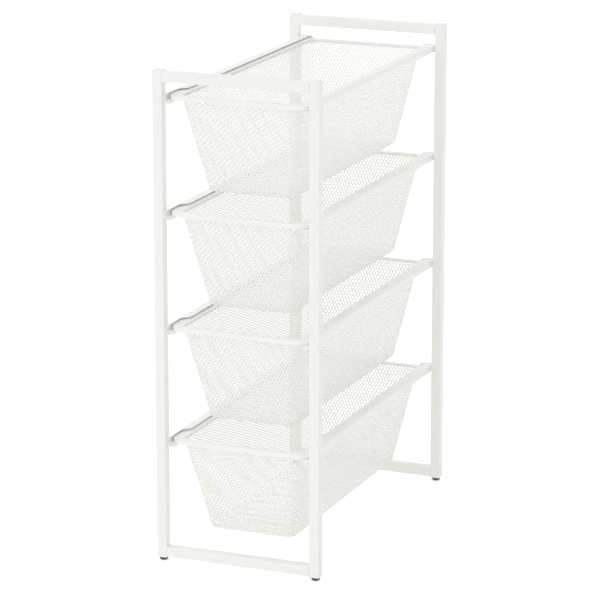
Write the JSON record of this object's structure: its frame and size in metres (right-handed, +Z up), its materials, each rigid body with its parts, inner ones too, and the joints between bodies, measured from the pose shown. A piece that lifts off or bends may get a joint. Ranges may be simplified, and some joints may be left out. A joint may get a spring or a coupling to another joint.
{
  "type": "wire basket storage frame",
  "caption": "Narrow free-standing frame of white square steel tube with tapered mesh baskets that pull out on folded rails, for clothes and small things.",
  "frame": {"origin": "on the floor, in the middle of the four feet", "axes": "+Z up, +X to the right seen from the front, +Y from the front to the rear"},
  "size_m": [0.247, 0.504, 0.705],
  "materials": {
    "tube_steel": "satin powder coat",
    "rail_steel": "satin powder coat",
    "rim_steel": "satin powder coat",
    "mesh_steel": "satin powder coat",
    "white_plastic": "satin",
    "foot_plastic": "matt"
  },
  "bodies": {
    "frame": {"front_bottom_bar": "tube_steel", "front_top_bar": "tube_steel", "rear_bottom_bar": "tube_steel", "rear_top_bar": "tube_steel", "front_left_post": "tube_steel", "front_left_cap": "white_plastic", "front_left_plug": "white_plastic", "front_left_foot": "foot_plastic", "front_right_post": "tube_steel", "front_right_cap": "white_plastic", "front_right_plug": "white_plastic", "front_right_foot": "foot_plastic", "rear_left_post": "tube_steel", "rear_left_cap": "white_plastic", "rear_left_plug": "white_plastic", "rear_left_foot": "foot_plastic", "rear_right_post": "tube_steel", "rear_right_cap": "white_plastic", "rear_right_plug": "white_plastic", "rear_right_foot": "foot_plastic", "rail_1_left": "rail_steel", "rail_1_right": "rail_steel", "rail_2_left": "rail_steel", "rail_2_right": "rail_steel", "rail_3_left": "rail_steel", "rail_3_right": "rail_steel", "rail_4_left": "rail_steel", "rail_4_right": "rail_steel"},
    "basket_1": {"basket_1_rim": "rim_steel", "basket_1_mesh": "mesh_steel"},
    "basket_2": {"basket_2_rim": "rim_steel", "basket_2_mesh": "mesh_steel"},
    "basket_3": {"basket_3_rim": "rim_steel", "basket_3_mesh": "mesh_steel"},
    "basket_4": {"basket_4_rim": "rim_steel", "basket_4_mesh": "mesh_steel"}
  },
  "joints": [
    {"name": "basket_1_slide", "type": "slide", "parent": "frame", "child": "basket_1", "axis": [0, -1, 0], "range_m": [0, 0.33]},
    {"name": "basket_2_slide", "type": "slide", "parent": "frame", "child": "basket_2", "axis": [0, -1, 0], "range_m": [0, 0.33]},
    {"name": "basket_3_slide", "type": "slide", "parent": "frame", "child": "basket_3", "axis": [0, -1, 0], "range_m": [0, 0.33]},
    {"name": "basket_4_slide", "type": "slide", "parent": "frame", "child": "basket_4", "axis": [0, -1, 0], "range_m": [0, 0.33]}
  ]
}
